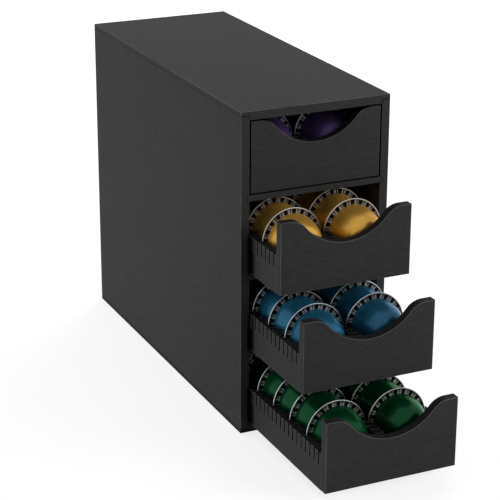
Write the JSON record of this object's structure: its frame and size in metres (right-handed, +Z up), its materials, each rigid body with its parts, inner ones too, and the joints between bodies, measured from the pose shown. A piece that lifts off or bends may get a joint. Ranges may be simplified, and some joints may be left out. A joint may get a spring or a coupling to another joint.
{
  "type": "coffee pod drawer",
  "caption": "Narrow wooden cabinet of stacked drawers; slotted combs in each drawer hold two rows of upright coffee pods, and a scooped front serves as the pull.",
  "frame": {"origin": "centre of the cabinet's underside", "axes": "+Z up, +X to the right seen from the front, +Y from the drawers' fronts to the back"},
  "size_m": [0.155, 0.5443, 0.3235],
  "materials": {
    "black_board": "black stained board with a fine grain, satin lacquer",
    "thin_board": "thin black hardboard, matt",
    "dowel_wood": "bare beech",
    "screw_steel": "black oxide",
    "lid_foil": "plain foil",
    "purple_foil": "satin lacquered aluminium, with a silver rim that carries short dark ticks",
    "gold_foil": "satin lacquered aluminium, with a silver rim that carries short dark ticks",
    "blue_foil": "satin lacquered aluminium, with a silver rim that carries short dark ticks",
    "green_foil": "satin lacquered aluminium, with a silver rim that carries short dark ticks"
  },
  "bodies": {
    "cabinet": {"top_panel": "black_board", "bottom_panel": "black_board", "left_side_panel": "black_board", "right_side_panel": "black_board", "upper_shelf": "black_board", "middle_shelf": "black_board", "lower_shelf": "black_board", "back_panel": "thin_board", "corner_dowels": "dowel_wood", "back_screws": "screw_steel"},
    "drawer_1": {"drawer_1_front": "black_board", "drawer_1_left_comb": "black_board", "drawer_1_right_comb": "black_board", "drawer_1_centre_comb": "black_board", "drawer_1_back_wall": "black_board", "drawer_1_floor": "thin_board", "drawer_1_dowels": "dowel_wood", "drawer_1_screws": "screw_steel", "drawer_1_pod_shells": "purple_foil", "drawer_1_pod_lids": "lid_foil"},
    "drawer_2": {"drawer_2_front": "black_board", "drawer_2_left_comb": "black_board", "drawer_2_right_comb": "black_board", "drawer_2_centre_comb": "black_board", "drawer_2_back_wall": "black_board", "drawer_2_floor": "thin_board", "drawer_2_dowels": "dowel_wood", "drawer_2_screws": "screw_steel", "drawer_2_pod_shells": "gold_foil", "drawer_2_pod_lids": "lid_foil"},
    "drawer_3": {"drawer_3_front": "black_board", "drawer_3_left_comb": "black_board", "drawer_3_right_comb": "black_board", "drawer_3_centre_comb": "black_board", "drawer_3_back_wall": "black_board", "drawer_3_floor": "thin_board", "drawer_3_dowels": "dowel_wood", "drawer_3_screws": "screw_steel", "drawer_3_pod_shells": "blue_foil", "drawer_3_pod_lids": "lid_foil"},
    "drawer_4": {"drawer_4_front": "black_board", "drawer_4_left_comb": "black_board", "drawer_4_right_comb": "black_board", "drawer_4_centre_comb": "black_board", "drawer_4_back_wall": "black_board", "drawer_4_floor": "thin_board", "drawer_4_dowels": "dowel_wood", "drawer_4_screws": "screw_steel", "drawer_4_pod_shells": "green_foil", "drawer_4_pod_lids": "lid_foil"}
  },
  "joints": [
    {"name": "drawer_1_slide", "type": "slide", "parent": "cabinet", "child": "drawer_1", "axis": [0, -1, 0], "range_m": [0, 0.26]},
    {"name": "drawer_2_slide", "type": "slide", "parent": "cabinet", "child": "drawer_2", "axis": [0, -1, 0], "range_m": [-0.0642, 0.1958]},
    {"name": "drawer_3_slide", "type": "slide", "parent": "cabinet", "child": "drawer_3", "axis": [0, -1, 0], "range_m": [-0.1127, 0.1473]},
    {"name": "drawer_4_slide", "type": "slide", "parent": "cabinet", "child": "drawer_4", "axis": [0, -1, 0], "range_m": [-0.1598, 0.1002]}
  ]
}
